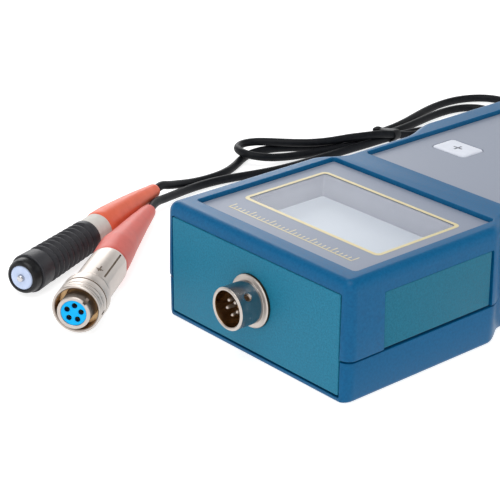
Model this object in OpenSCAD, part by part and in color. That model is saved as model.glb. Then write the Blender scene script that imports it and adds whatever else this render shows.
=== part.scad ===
// Handheld coating thickness gauge with a plug-in probe lead.
// Millimetres. X is the width, Y runs from the connector end to the tail,
// Z is up. The gauge lies on its back on z = 0.

/* [Case] */
// length of the case
body_l = 161; // [140:1:190]
// width of the display head
head_w = 69; // [60:0.5:80]
// width of the waist
waist_w = 60; // [50:0.5:70]
// width of the tail
tail_w = 68; // [56:0.5:80]
// height of the case
body_h = 31.5; // [26:0.5:38]
// height of the parting line
split_z = 10.9; // [8:0.1:14]
// wall thickness
wall = 2.2; // [1.6:0.1:3]
// radius of the two corners at the connector end
corner_r = 4; // [3:0.5:8]
// radius of the two corners at the tail
tail_r = 12; // [8:0.5:16]
// where the head ends, from the connector end
head_l = 50; // [45:0.5:56]
// where the waist is reached
waist_from = 60; // [58:0.5:66]
// where the waist ends
waist_to = 82; // [74:0.5:86]
// where the tail width is reached
tail_from = 96; // [90:0.5:102]

/* [Display] */
// width of the display recess
disp_w = 58.4; // [50:0.2:60]
// start of the display recess, from the connector end
disp_y = 6.7; // [5:0.1:9]
// length of the display recess
disp_l = 48.2; // [42:0.2:50]
// depth of both recesses down to the printed face
recess_d = 1.1; // [0.6:0.1:1.6]
// width of the clear window
win_w = 48; // [40:0.5:50]
// start of the clear window, from the connector end
win_y = 19.3; // [16:0.1:22]
// length of the clear window
win_l = 27.6; // [22:0.2:30]
// height of the liquid crystal face
lcd_z = 25; // [23:0.1:26]

/* [Keypad] */
// width of the keypad recess
pad_w = 52.6; // [44:0.2:54]
// start of the keypad recess, from the connector end
pad_y = 64.3; // [62:0.1:68]
// length of the keypad recess
pad_l = 85; // [76:1:88]
// width of a key
key_w = 11.8; // [9:0.1:14]
// length of a key
key_l = 8.4; // [6:0.1:10]
// distance of the key columns from the middle
key_x = 14; // [12:0.1:16]
// first row of keys, from the connector end
key_row1 = 88; // [84:0.5:92]
// second row of keys
key_row2 = 121; // [116:0.5:124]
// third row, one key in the middle
key_row3 = 138; // [134:0.5:140]

/* [Socket] */
// height of the socket axis
sock_z = 15.5; // [13:0.1:18]
// outer radius of the socket barrel
sock_r = 5.6; // [5:0.05:6]
// inner radius of the socket barrel
sock_bore = 4.7; // [4.5:0.05:5]
// how far the barrel stands out
sock_out = 8; // [6:0.5:10]
// radius of the socket flange
flange_r = 7; // [6.5:0.1:8]

/* [Battery] */
// diameter of a cell
cell_d = 10.5; // [10:0.1:10.6]
// length of a cell
cell_l = 44.5; // [44:0.1:45]

/* [Probe] */
// position of the sensor face
probe_at = [-66.5, -104.2, 5.45]; // [-200:0.05:200]
// heading of the probe from its face to its cable
probe_yaw = 112.35; // [90:0.05:130]
// slope of the probe down to its cable
probe_tilt = 0.8; // [0:0.1:4]
// radius of the grip at the nose
grip_r = 5.45; // [4.5:0.05:5.5]
// length of the probe up to its ring
grip_end = 33.2; // [30:0.1:40]
// length up to the end of the boot
probe_l = 74.3; // [60:0.1:80]
// how far the soft boot is lifted off the axis, in degrees
boot_lift = 1.6; // [0:0.1:4]

/* [Plug] */
// position of the middle of the sleeve mouth
plug_at = [-38.6, -106.1, 6.9]; // [-200:0.1:200]
// heading of the plug from its mouth to its cable
plug_yaw = 127.7; // [110:0.1:140]
// slope of the plug down to its cable
plug_tilt = 1.85; // [0:0.05:4]
// outer radius of the coupling sleeve
sleeve_r = 6.5; // [6.2:0.05:6.6]
// end of the metal body
shell_end = 30.4; // [26:0.1:36]
// length up to the end of the boot
plug_l = 76.8; // [66:0.1:84]

/* [Cable] */
// cable diameter
cable_d = 2.6; // [2:0.1:4]
// height of the folded hank
hank_h = 5.4; // [4:0.2:8]
// half width of the folded hank at its ends
hank_r = 8.5; // [6:0.5:10]
// half width of the hank under the tie
hank_waist = 4.6; // [4:0.2:8]

/* [Output] */
// sub-part to show

/* [Hidden] */
$fn = 48;
y0 = -body_l / 2;
y1 = body_l / 2;
print_z = body_h - recess_d;   // printed face of both recesses
seat_z = print_z - 1;          // floor of both recesses in the case
roof_z = seat_z - 1.8;         // underside of the roof
floor_t = 1.8;
panel_w = 61.2;
panel_z0 = 2.1;
panel_z1 = 27.9;
panel_gap = 1;                 // open slot round the panel
panel_in = 0.1;                // how far the panel lies back
ins_y0 = 12;
ins_y1 = 49.8;
ins_z1 = 26.2;
boss_x = 27.3;
boss_ys = [10.5, 151];
pcb_z = 18.6;
pcb_t = 1.6;
pcb_top = pcb_z + pcb_t;
pcb_hole_x = 19.5;
pcb_hole_ys = [60, 146];
pin_r = 2;
pin_a0 = 56;
hole_a0 = 11;
wire_x = [4, -4, -8, 0, 8];   // where each wire meets the board
bay_w = 45;
bay_y0 = 107;
bay_y1 = 158.2;
cell_pitch = 10.8;
cell_z = 7.2;
key_gap = 0.35;
key_at = [[-key_x, key_row1], [key_x, key_row1], [-key_x, key_row2], [key_x, key_row2], [0, key_row3]];
probe_dir = [cos(probe_tilt) * cos(probe_yaw), cos(probe_tilt) * sin(probe_yaw), -sin(probe_tilt)];
boot_dir = [cos(probe_tilt - boot_lift) * cos(probe_yaw), cos(probe_tilt - boot_lift) * sin(probe_yaw), -sin(probe_tilt - boot_lift)];
ring_end = grip_end + 6.1;     // where the boot starts
plug_dir = [cos(plug_tilt) * cos(plug_yaw), cos(plug_tilt) * sin(plug_yaw), -sin(plug_tilt)];
probe_tail = probe_at + ring_end * probe_dir + (probe_l - ring_end) * boot_dir;
plug_tail = plug_at + plug_l * plug_dir;
hank_z = 0.7;
// middle line of the hank: fold, bend, tie, fold
hank_at = [[-104.2, 12.2], [-94.6, 38], [-91.8, 60], [-89.7, 101.6]];
hank_rs = [hank_r, hank_waist + 0.4, hank_waist, hank_r + 5.4];
tie_ang = atan2(hank_at[3][1] - hank_at[1][1], hank_at[3][0] - hank_at[1][0]);
// route of the two free ends of the cable on the table
route_a = concat([probe_tail, probe_tail + 2 * boot_dir],
  [[-96.4, -30.6, 4.6], [-97.2, -27.6, 3.7], [-98, -24.2, 2.8], [-98.6, -20.6, 2], [-98.9, -16.8, 1.5], [-99, -13, 1.35],
   [-99.1, -9, 1.35], [-99.7, -4.6, 1.35], [-101.4, -0.2, 1.5], [-103, 3.4, 2.2], [-104, 6.4, 2.8]]);
route_b = concat([plug_tail, plug_tail + 4 * plug_dir],
  [[-90.6, -36, 3.4], [-92.2, -32, 2.8], [-93.8, -28, 2.2], [-95, -23.6, 1.7], [-95.6, -19, 1.4], [-95.6, -14.2, 1.35],
   [-95, -9.2, 1.35], [-93.8, -4.2, 1.35], [-92.2, 1, 1.35], [-91, 6.5, 1.35], [-90.2, 12, 1.35], [-89.8, 18, 1.35],
   [-89.6, 24, 1.35], [-89.5, 30, 1.35], [-89.6, 36, 1.5], [-90, 41, 2.2], [-90.6, 45, 2.8]]);

// ---- outline of the case -------------------------------------------------
function arc(cx, cy, r, a0, a1, n) = [for (i = [0:n]) let (a = a0 + (a1 - a0) * i / n) [cx + r * cos(a), cy + r * sin(a)]];
function sm(t) = let (u = min(1, max(0, t))) u * u * (3 - 2 * u);
function halfw(p) = head_w / 2
  - (head_w - waist_w) / 2 * sm((p - head_l) / (waist_from - head_l))
  + (tail_w - waist_w) / 2 * sm((p - waist_to) / (tail_from - waist_to));
function between(a, b, n) = [for (i = [0:n]) a + (b - a) * i / n];
side_ps = concat([22], between(head_l, waist_from, 7), between(waist_to, tail_from, 8), [120]);
function right_side(o, e) = concat(
  [for (q = arc(0, 0, 1, -90, 0, 6)) [head_w / 2 - corner_r + (corner_r - o) * q[0], y0 + corner_r + (corner_r - e) * q[1]]],
  [for (p = side_ps) [halfw(p) - o, y0 + p]],
  arc(tail_w / 2 - tail_r, y1 - tail_r, tail_r - o, 0, 90, 8));
// outline with inset o on the sides and tail and inset e at the connector end
function ring(o, e) = let (r = right_side(o, e), n = len(r))
  concat(r, [for (i = [n - 1:-1:0]) [-r[i][0], r[i][1]]]);

module loft(levels) {
  n = len(ring(0, 0));
  m = len(levels);
  pts = [for (l = levels) for (q = ring(l[1], l[2])) [q[0], q[1], l[0]]];
  sides = [for (k = [0:m - 2]) for (i = [0:n - 1])
    let (a = k * n + i, b = k * n + (i + 1) % n, c = b + n, d = a + n)
      each [[a, d, c], [a, c, b]]];
  polyhedron(points = pts, faces = concat(
    [[for (i = [0:n - 1]) i]], sides,
    [[for (i = [n - 1:-1:0]) (m - 1) * n + i]]), convexity = 6);
}

// ---- small helpers -------------------------------------------------------
module rrect(w, l, r) {
  square([w - 2 * r, l], center = true);
  square([w, l - 2 * r], center = true);
  for (x = [-1, 1], y = [-1, 1]) translate([x * (w / 2 - r), y * (l / 2 - r)]) circle(r = r);
}
// box from p = distance from the connector end
module pbox(x0, x1, p0, p1, z0, z1) {
  translate([x0, y0 + p0, z0]) cube([x1 - x0, p1 - p0, z1 - z0]);
}
module plate(w, p0, l, r, z0, h) {
  translate([0, y0 + p0 + l / 2, z0]) linear_extrude(height = h) rrect(w, l, r);
}
module along_y(x, p, z, r, l) {
  translate([x, y0 + p, z]) rotate([-90, 0, 0]) cylinder(r = r, h = l);
}
module rod(a, b, r) {
  v = b - a;
  translate(a) rotate([0, acos(v[2] / norm(v)), atan2(v[1], v[0])]) cylinder(r = r, h = norm(v), $fn = 12);
}
module at_probe() { translate(probe_at) rotate([0, 90 + probe_tilt, probe_yaw]) children(); }
module at_plug() { translate(plug_at) rotate([0, 90 + plug_tilt, plug_yaw]) children(); }
module turned(profile, sides = 48) { rotate_extrude($fn = sides) polygon(profile); }

function unit(v) = v / norm(v);
module tube(route, d) {
  n = 8;
  m = len(route);
  pts = [for (i = [0:m - 1])
    let (t = unit(route[min(m - 1, i + 1)] - route[max(0, i - 1)]),
         u = unit(cross([0, 0, 1], t)), v = cross(t, u))
      for (k = [0:n - 1]) route[i] + d / 2 * (cos(360 * k / n) * u + sin(360 * k / n) * v)];
  sides = [for (i = [0:m - 2]) for (k = [0:n - 1])
    let (a = i * n + k, b = i * n + (k + 1) % n, c = b + n, e = a + n)
      each [[a, e, c], [a, c, b]]];
  polyhedron(points = pts, faces = concat(
    [[for (k = [0:n - 1]) k]], sides,
    [[for (k = [n - 1:-1:0]) (m - 1) * n + k]]), convexity = 4);
}

// ---- case ----------------------------------------------------------------
module top_case() {
  color([0.16, 0.38, 0.57]) difference() {
    union() {
      difference() {
        loft([[split_z - 0.5, -0.01, -0.01], [body_h - 2.8, 0.35, 0.35], [body_h - 1.5, 0.6, 0.6], [body_h - 0.7, 1.1, 1.1],
              [body_h - 0.2, 1.9, 1.9], [body_h + 0.2, 3.9, 3.9]]);
        pbox(-60, 60, -20, body_l + 20, body_h, body_h + 5);
        pbox(-60, 60, -20, body_l + 20, split_z - 6, split_z);
        translate([0, 0, split_z - 1]) linear_extrude(height = roof_z - split_z + 1) polygon(ring(wall, wall));
      }
      for (x = [-1, 1], p = boss_ys) translate([x * boss_x, y0 + p, split_z + 0.3]) cylinder(r = 3, h = roof_z - split_z, $fn = 24);
      for (x = [-1, 1], p = pcb_hole_ys) translate([x * pcb_hole_x, y0 + p, pcb_top]) cylinder(r = 2.4, h = roof_z - pcb_top + 0.5, $fn = 24);
    }
    plate(disp_w, disp_y, disp_l, 1.5, seat_z, 4);
    plate(pad_w, pad_y, pad_l, 2, seat_z, 4);
    plate(win_w + 0.8, win_y - 0.4, win_l + 0.8, 1, roof_z - 1, 4);
    for (k = key_at) translate([k[0], y0 + k[1], roof_z - 1]) linear_extrude(height = 4)
      rrect(key_w + 2 * key_gap, key_l + 2 * key_gap, 1.5);
    pbox(-panel_w / 2 - panel_gap, panel_w / 2 + panel_gap, -2, 2.9, split_z - 1, panel_z1 + 0.25);
    for (s = [-1, 1]) pbox(min(s * 33.3, s * 38), max(s * 33.3, s * 38), ins_y0, ins_y1, split_z - 1, ins_z1);
    for (x = [-1, 1], p = boss_ys) translate([x * boss_x, y0 + p, split_z]) cylinder(r = 1.25, h = 11, $fn = 24);
    for (x = [-1, 1], p = pcb_hole_ys) translate([x * pcb_hole_x, y0 + p, pcb_top - 1]) cylinder(r = 1.1, h = 6.2, $fn = 24);
  }
}

module bottom_case() {
  color([0.15, 0.36, 0.55]) difference() {
    union() {
      difference() {
        loft([[-0.2, 1.75, 0.55], [0.35, 0.95, 0.1], [1.1, 0.65, 0.05], [split_z + 0.5, 0.28, 0.15]]);
        pbox(-60, 60, -20, body_l + 20, -5, 0);
        pbox(-60, 60, -20, body_l + 20, split_z, split_z + 5);
        translate([0, 0, floor_t]) linear_extrude(height = split_z) polygon(ring(wall + 0.4, wall + 0.4));
      }
      for (x = [-1, 1], p = boss_ys) translate([x * boss_x, y0 + p, floor_t - 0.6]) cylinder(r = 3.2, h = split_z - floor_t + 0.6, $fn = 24);
      for (s = [-1, 1]) pbox(s * (bay_w / 2 + 0.7) - 0.7, s * (bay_w / 2 + 0.7) + 0.7, bay_y0 - 1.4, bay_y1 + 0.6, floor_t - 0.6, split_z - 0.3);
      pbox(-bay_w / 2 - 0.3, bay_w / 2 + 0.3, bay_y0 - 1.4, bay_y0, floor_t - 0.6, split_z - 0.3);
    }
    pbox(-panel_w / 2 - panel_gap, panel_w / 2 + panel_gap, -2, 2.9, panel_z0 - panel_gap, split_z + 1);
    pbox(-bay_w / 2 + 0.2, bay_w / 2 - 0.2, bay_y0 + 0.3, body_l + 2, -1, floor_t + 0.05);
    for (x = [-1, 1], p = boss_ys) translate([x * boss_x, y0 + p, -1]) {
      cylinder(r = 2.7, h = 6, $fn = 24);
      cylinder(r = 1.6, h = 20, $fn = 24);
    }
  }
}

module end_panel() {
  color([0.17, 0.45, 0.55]) difference() {
    union() {
      pbox(-panel_w / 2, panel_w / 2, panel_in, 2.9, panel_z0, panel_z1);
      pbox(-30.9, 30.9, 2.9, 4.4, floor_t + 0.3, roof_z - 0.3);
    }
    along_y(0, -1, sock_z, 5.2, 8);
  }
}

module side_plate(s) {
  pbox(min(s * 33.3, s * 34.2), max(s * 33.3, s * 34.2), ins_y0 + 0.2, ins_y1 - 0.4, split_z + 0.25, ins_z1 - 0.15);
}
module side_insert_left() { color([0.17, 0.47, 0.56]) side_plate(-1); }
module side_insert_right() { color([0.17, 0.47, 0.56]) side_plate(1); }

// ---- display -------------------------------------------------------------
module display_window() {
  color([0.82, 0.86, 0.9, 0.5]) union() {
    plate(disp_w - 0.4, disp_y + 0.2, disp_l - 0.4, 1.3, seat_z, 0.7);
    plate(win_w - 0.3, win_y + 0.15, win_l - 0.3, 1, seat_z, 0.95);
  }
}
module display_label() {
  color([0.62, 0.66, 0.74]) difference() {
    plate(disp_w - 0.4, disp_y + 0.2, disp_l - 0.4, 1.3, seat_z + 0.7, 0.3);
    plate(win_w, win_y, win_l, 1.1, seat_z, 3);
  }
}
module lcd_bezel() {
  color([0.6, 0.62, 0.65]) difference() {
    pbox(-27.5, 27.5, 16, 50.2, lcd_z, roof_z);
    pbox(-23.9, 23.9, 19.4, 46.8, lcd_z + 0.6, roof_z + 1);
    pbox(-22, 22, 22, 44.2, lcd_z - 1, roof_z + 1);
  }
}
module lcd_glass() { color([0.78, 0.81, 0.8]) pbox(-26, 26, 17.2, 49, lcd_z - 2.4, lcd_z); }
module zebra_strips() {
  color([0.85, 0.55, 0.65]) for (p = [17.6, 46.8]) pbox(-24, 24, p, p + 1.8, pcb_top, lcd_z - 2.4);
}

// ---- board ---------------------------------------------------------------
module main_pcb() {
  color([0.1, 0.4, 0.22]) difference() {
    union() {
      pbox(-26.5, 26.5, 14.5, 53, pcb_z, pcb_top);
      pbox(-23, 23, 52, 149, pcb_z, pcb_top);
    }
    for (x = [-1, 1], p = pcb_hole_ys) translate([x * pcb_hole_x, y0 + p, 0]) cylinder(r = 1.3, h = 40, $fn = 24);
  }
}
module ic_chips() {
  color([0.08, 0.08, 0.09]) {
    pbox(-7, 7, 68, 82, pcb_z - 1.6, pcb_z);
    pbox(8, 13, 30, 36, pcb_z - 1.4, pcb_z);
    pbox(-14, -8, 34, 38, pcb_z - 1.4, pcb_z);
    pbox(-6, 4, 96, 103, pcb_z - 2, pcb_z);
  }
}
module key_switches() {
  color([0.2, 0.2, 0.22]) for (k = key_at) translate([k[0], y0 + k[1], pcb_top]) {
    translate([-3, -3, 0]) cube([6, 6, 3.4]);
    cylinder(r = 1.7, h = 3.8, $fn = 24);
  }
}
module pcb_screws() {
  color([0.7, 0.7, 0.72]) for (x = [-1, 1], p = pcb_hole_ys) translate([x * pcb_hole_x, y0 + p, pcb_z - 1.6]) {
    cylinder(r = 2.2, h = 1.6, $fn = 24);
    cylinder(r = 1.05, h = 7.5, $fn = 24);
  }
}

// ---- keypad --------------------------------------------------------------
module keypad_overlay() {
  color([0.56, 0.58, 0.66]) difference() {
    plate(pad_w - 0.4, pad_y + 0.2, pad_l - 0.4, 1.8, seat_z, 1);
    for (k = key_at) translate([k[0], y0 + k[1], seat_z - 1]) linear_extrude(height = 4)
      rrect(key_w + 2 * key_gap, key_l + 2 * key_gap, 1.5);
  }
}
module key(i) {
  translate([key_at[i][0], y0 + key_at[i][1], 0]) {
    translate([0, 0, roof_z - 0.9]) linear_extrude(height = print_z + 0.15 - roof_z + 0.9) rrect(key_w, key_l, 1.2);
    translate([0, 0, roof_z - 1.4]) linear_extrude(height = 1) rrect(key_w + 2, key_l + 2, 1.2);
    translate([0, 0, pcb_top + 4.4]) cylinder(r = 2, h = roof_z - 1 - pcb_top - 4.4, $fn = 24);
  }
}
module key_plus() { color([0.9, 0.91, 0.95]) key(0); }
module key_minus() { color([0.9, 0.91, 0.95]) key(1); }
module key_zero() { color([0.9, 0.91, 0.95]) key(2); }
module key_mode() { color([0.9, 0.91, 0.95]) key(3); }
module key_power() { color([0.8, 0.25, 0.2]) key(4); }

// ---- socket --------------------------------------------------------------
module at_socket() { translate([0, y0, sock_z]) rotate([90, 0, 0]) children(); }
module socket_shell() {
  color([0.78, 0.77, 0.75]) difference() {
    at_socket() turned([[sock_bore, 1.2], [sock_bore, sock_out - 0.3], [sock_bore + 0.3, sock_out], [sock_r - 0.35, sock_out],
      [sock_r, sock_out - 0.35], [sock_r, 0.9], [flange_r - 0.3, 0.9], [flange_r, 0.6], [flange_r, -panel_in], [5, -panel_in],
      [5, -9], [4.42, -9], [4.42, 1.2]], 64);
    translate([0, y0 - 4.7, sock_z]) rotate([0, 48, 0]) translate([0, 0, 3]) cylinder(r = 1, h = 5, $fn = 20);
  }
}
module socket_insulator() {
  color([0.2, 0.14, 0.1]) difference() {
    at_socket() translate([0, 0, -8]) cylinder(r = 4.4, h = 9.2);
    for (i = [0:4]) let (a = pin_a0 + 72 * i) along_y(pin_r * cos(a), -3, sock_z + pin_r * sin(a), 0.52, 14);
  }
}
module socket_pins() {
  color([0.85, 0.83, 0.78]) for (i = [0:4]) let (a = pin_a0 + 72 * i)
    translate([pin_r * cos(a), y0, sock_z + pin_r * sin(a)]) rotate([90, 0, 0])
      turned([[0, -11], [0.5, -11], [0.5, 6], [0.25, 6.5], [0, 6.5]], 16);
}
module socket_nut() {
  color([0.75, 0.75, 0.76]) difference() {
    along_y(0, 4.4, sock_z, 7.2, 2.4, $fn = 6);
    along_y(0, 4, sock_z, 5.06, 4);
  }
}
module hookup_wires() {
  color([0.75, 0.2, 0.18]) for (i = [0:4]) let (a = pin_a0 + 72 * i)
    rod([pin_r * cos(a), y0 + 10.8, sock_z + pin_r * sin(a)], [wire_x[i], y0 + 19, pcb_z + 0.2], 0.45);
}

// ---- battery -------------------------------------------------------------
module battery_cells() {
  color([0.25, 0.26, 0.3]) for (i = [0:3]) let (f = i % 2 == 0 ? 0 : 180)
    translate([(i - 1.5) * cell_pitch, y0 + 108 + 4.6 + cell_l / 2, cell_z]) rotate([-90, 0, f])
      turned([[0, -cell_l / 2], [cell_d / 2 - 0.4, -cell_l / 2], [cell_d / 2, -cell_l / 2 + 0.4], [cell_d / 2, cell_l / 2 - 1.4],
        [cell_d / 2 - 0.4, cell_l / 2 - 1], [1.9, cell_l / 2 - 1], [1.9, cell_l / 2], [0, cell_l / 2]], 32);
}
module battery_plates() {
  color([0.72, 0.72, 0.7]) for (i = [0:3]) {
    pbox((i - 1.5) * cell_pitch - 4, (i - 1.5) * cell_pitch + 4, bay_y0, bay_y0 + 0.5, 2.6, 10.4);
    pbox((i - 1.5) * cell_pitch - 4, (i - 1.5) * cell_pitch + 4, bay_y1 - 0.7, bay_y1 - 0.2, 2.6, 10.4);
  }
}
module battery_springs() {
  color([0.72, 0.72, 0.7]) for (i = [0:3]) {
    translate([(i - 1.5) * cell_pitch, y0 + bay_y0 + 0.5, cell_z]) rotate([-90, 0, 0])
      turned([[3.2, 0], [3.7, 0], [2.7, 5], [2.2, 5]], 24);
  }
}
module battery_door() {
  color([0.15, 0.36, 0.55]) difference() {
    pbox(-bay_w / 2 + 0.5, bay_w / 2 - 0.5, bay_y0 + 0.6, body_l - 1.8, 0, 1.5);
    for (i = [0:4]) pbox(-9, 9, body_l - 22 + 3 * i, body_l - 20.6 + 3 * i, -1, 0.5);
  }
}
module case_screws() {
  color([0.55, 0.55, 0.57]) for (x = [-1, 1], p = boss_ys) translate([x * boss_x, y0 + p, 3]) difference() {
    union() {
      cylinder(r = 2.5, h = 2, $fn = 24);
      cylinder(r = 1.2, h = 17, $fn = 24);
    }
    translate([-2, -0.35, -1]) cube([4, 0.7, 1.6]);
    translate([-0.35, -2, -1]) cube([0.7, 4, 1.6]);
  }
}

// ---- probe ---------------------------------------------------------------
grip_groove0 = 9.35;
grip_pitch = 2.55;
grip_n = 9;
grip_r2 = 4.85;
function grip_at(t) = grip_r + (grip_r2 - grip_r) * (t - 4) / (grip_end - 4);
module probe_grip() {
  color([0.16, 0.16, 0.18]) at_probe() turned(concat(
    [[3.46, 4], [grip_r - 0.25, 4], [grip_r, 4.25]],
    [for (i = [0:grip_n - 1]) let (t = grip_groove0 + grip_pitch * i)
      each [[grip_at(t), t - 0.7], [grip_at(t) - 0.55, t - 0.3], [grip_at(t) - 0.55, t + 0.3], [grip_at(t), t + 0.7]]],
    [[grip_r2, grip_end - 0.6], [grip_r2 - 0.6, grip_end], [3, grip_end], [3, 22], [3.46, 22]]), 48);
}
module probe_nose() {
  color([0.11, 0.11, 0.13]) at_probe()
    turned([[3.46, 0.3], [3.9, 0], [4.3, 0.1], [4.9, 0.9], [grip_r - 0.15, 2.2], [grip_r - 0.1, 4], [3.46, 4]], 48);
}
module sensor_bobbin() {
  color([0.88, 0.9, 0.94]) at_probe()
    turned([[1.02, 0], [3.1, 0], [3.38, 0.28], [3.38, 3], [1.8, 3], [1.8, 9], [3.38, 9], [3.38, 13.5], [1.02, 13.5]], 48);
}
module sensor_core() {
  color([0.8, 0.8, 0.82]) at_probe() turned([[0, -0.9], [0.45, -0.8], [0.85, -0.45], [1, 0], [1, 12], [0, 12]], 24);
}
module sensor_coil() {
  color([0.72, 0.4, 0.22]) at_probe() turned([[1.85, 3.2], [3, 3.2], [3, 8.8], [1.85, 8.8]], 32);
}
module sensor_spring() {
  color([0.7, 0.7, 0.72]) at_probe() for (i = [0:4]) translate([0, 0, 14.2 + 1.6 * i])
    rotate_extrude($fn = 24) translate([2.3, 0]) circle(r = 0.3, $fn = 8);
}
module probe_ring() {
  color([0.86, 0.85, 0.83]) at_probe()
    turned([[0, 23], [2.95, 23], [2.95, grip_end + 0.02], [4.45, grip_end + 0.02], [4.6, grip_end + 0.3], [4.7, ring_end], [0, ring_end]], 48);
}
module probe_boot() {
  color([0.9, 0.42, 0.32]) at_probe() translate([0, 0, ring_end]) difference() {
    rotate([0, -boot_lift, 0]) turned([[0, -1], [4.75, -1], [4.85, 1.2], [4.6, 5.8], [4, 11.3], [3.15, 18.5], [2.35, 26.8],
      [1.85, probe_l - ring_end - 2], [1.75, probe_l - ring_end - 0.6], [1.45, probe_l - ring_end], [0, probe_l - ring_end]], 48);
    translate([-10, -10, -10]) cube([20, 20, 10]);
  }
}

// ---- plug ----------------------------------------------------------------
module plug_sleeve() {
  color([0.8, 0.78, 0.75]) at_plug() turned(concat(
    [[5.72, 0.25], [5.95, 0], [sleeve_r - 0.35, 0], [sleeve_r - 0.1, 0.3], [sleeve_r - 0.1, 1.6]],
    [for (i = [0:3]) let (t = 1.9 + 0.75 * i) each [[sleeve_r, t], [sleeve_r, t + 0.3], [sleeve_r - 0.16, t + 0.42], [sleeve_r - 0.16, t + 0.62]]],
    [[sleeve_r, 5], [sleeve_r, 5.3], [sleeve_r - 0.25, 5.45], [sleeve_r - 0.25, 5.75], [sleeve_r, 5.9],
     [sleeve_r, 9.3], [sleeve_r - 0.3, 9.6], [5.56, 9.6], [5.56, 5.8], [4.48, 5.8], [4.48, 4.6], [5.72, 4.6]]), 48);
}
module plug_barrel() {
  color([0.86, 0.84, 0.82]) difference() {
    at_plug() turned([[3.42, -2.4], [3.52, -2.5], [4.2, -2.5], [4.4, -2.3], [4.4, 20], [3.42, 20]], 48);
    at_plug() rotate([0, 0, -135]) translate([3, -0.6, -3]) cube([3, 1.2, 4.5]);
  }
}
module plug_hole(i, z0, r, h) {
  a = hole_a0 + 72 * i;
  translate([-1.95 * sin(a), -1.95 * cos(a), z0]) cylinder(r = r, h = h, $fn = 16);
}
module plug_insulator() {
  color([0.1, 0.62, 0.95]) difference() {
    at_plug() translate([0, 0, -2.3]) cylinder(r = 3.4, h = 16);
    for (i = [0:4]) at_plug() plug_hole(i, -4, 0.72, 20);
  }
}
module plug_contacts() {
  color([0.75, 0.65, 0.4]) for (i = [0:4]) difference() {
    at_plug() plug_hole(i, -0.8, 0.7, 17);
    at_plug() plug_hole(i, -2, 0.48, 8);
  }
}
module plug_spring() {
  color([0.7, 0.7, 0.72]) at_plug() for (i = [0:1]) translate([0, 0, 6.4 + 0.9 * i])
    rotate_extrude($fn = 24) translate([5, 0]) circle(r = 0.28, $fn = 8);
}
module plug_backshell() {
  color([0.8, 0.78, 0.75]) difference() {
    at_plug() turned([[0, 20.2], [4.42, 20.2], [4.42, 8], [5.1, 8], [5.25, 8.3], [5.25, 12], [5.45, 12.2], [5.45, 27], [5.4, 29], [5.2, shell_end], [0, shell_end]], 48);
    for (s = [-1, 1]) at_plug() translate([-6, s * 6.6 - 1.6, 13]) cube([12, 3.2, 20]);
  }
}
module plug_boot() {
  color([0.87, 0.47, 0.42]) at_plug()
    turned([[0, shell_end], [5, shell_end], [5.15, shell_end + 1.2], [5, shell_end + 9], [4.4, shell_end + 16.6], [3.7, shell_end + 25],
      [2.7, shell_end + 36.5], [2.15, shell_end + 42.5], [1.85, plug_l - 0.8], [1.55, plug_l], [0, plug_l]], 48);
}

// ---- cable ---------------------------------------------------------------
module cable_probe() { color([0.09, 0.09, 0.1]) tube(route_a, cable_d); }
module cable_plug() { color([0.09, 0.09, 0.1]) tube(route_b, cable_d); }
module hank_outline(o) {
  for (i = [0:2]) hull() {
    translate(hank_at[i]) circle(r = hank_rs[i] + o, $fn = 32);
    translate(hank_at[i + 1]) circle(r = hank_rs[i + 1] + o, $fn = 32);
  }
}
module cable_hank() {
  color([0.1, 0.1, 0.11]) translate([0, 0, hank_z]) linear_extrude(height = hank_h) hank_outline(0);
}
module cable_tie() {
  color([0.07, 0.07, 0.08]) difference() {
    translate([hank_at[2][0], hank_at[2][1], 0]) rotate([0, 0, tie_ang])
      translate([-1.5, -hank_waist - 1.6, 0]) cube([3, 2 * hank_waist + 3.2, hank_z + hank_h + 0.7]);
    translate([0, 0, hank_z]) linear_extrude(height = hank_h) hank_outline(0);
  }
}

top_case();
bottom_case();
end_panel();
side_insert_left();
side_insert_right();
display_window();
display_label();
lcd_bezel();
lcd_glass();
zebra_strips();
main_pcb();
ic_chips();
keypad_overlay();
key_plus();
key_minus();
key_zero();
key_mode();
key_power();
key_switches();
pcb_screws();
socket_shell();
socket_insulator();
socket_pins();
socket_nut();
hookup_wires();
battery_cells();
battery_plates();
battery_springs();
battery_door();
case_screws();
probe_grip();
probe_nose();
sensor_bobbin();
sensor_core();
sensor_coil();
sensor_spring();
probe_ring();
probe_boot();
plug_sleeve();
plug_barrel();
plug_insulator();
plug_contacts();
plug_spring();
plug_backshell();
plug_boot();
cable_probe();
cable_plug();
cable_hank();
cable_tie();
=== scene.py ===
import math

import bmesh
import bpy
import numpy as np
from mathutils import Matrix, Vector


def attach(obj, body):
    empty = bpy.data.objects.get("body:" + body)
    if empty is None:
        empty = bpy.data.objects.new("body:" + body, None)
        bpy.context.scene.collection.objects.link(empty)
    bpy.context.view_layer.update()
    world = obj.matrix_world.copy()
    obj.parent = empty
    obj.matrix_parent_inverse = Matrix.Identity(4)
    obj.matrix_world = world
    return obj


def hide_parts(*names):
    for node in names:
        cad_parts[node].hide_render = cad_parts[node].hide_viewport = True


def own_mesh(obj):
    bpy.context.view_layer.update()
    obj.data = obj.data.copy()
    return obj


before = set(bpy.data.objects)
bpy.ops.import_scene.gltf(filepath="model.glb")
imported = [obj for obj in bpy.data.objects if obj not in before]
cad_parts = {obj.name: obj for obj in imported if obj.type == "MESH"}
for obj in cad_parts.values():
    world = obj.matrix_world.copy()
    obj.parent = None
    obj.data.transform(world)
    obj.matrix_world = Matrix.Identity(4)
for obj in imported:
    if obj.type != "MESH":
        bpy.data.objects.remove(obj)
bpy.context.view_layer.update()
scene = bpy.context.scene
scene.view_settings.view_transform = "Standard"
MM = 0.001

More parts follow.
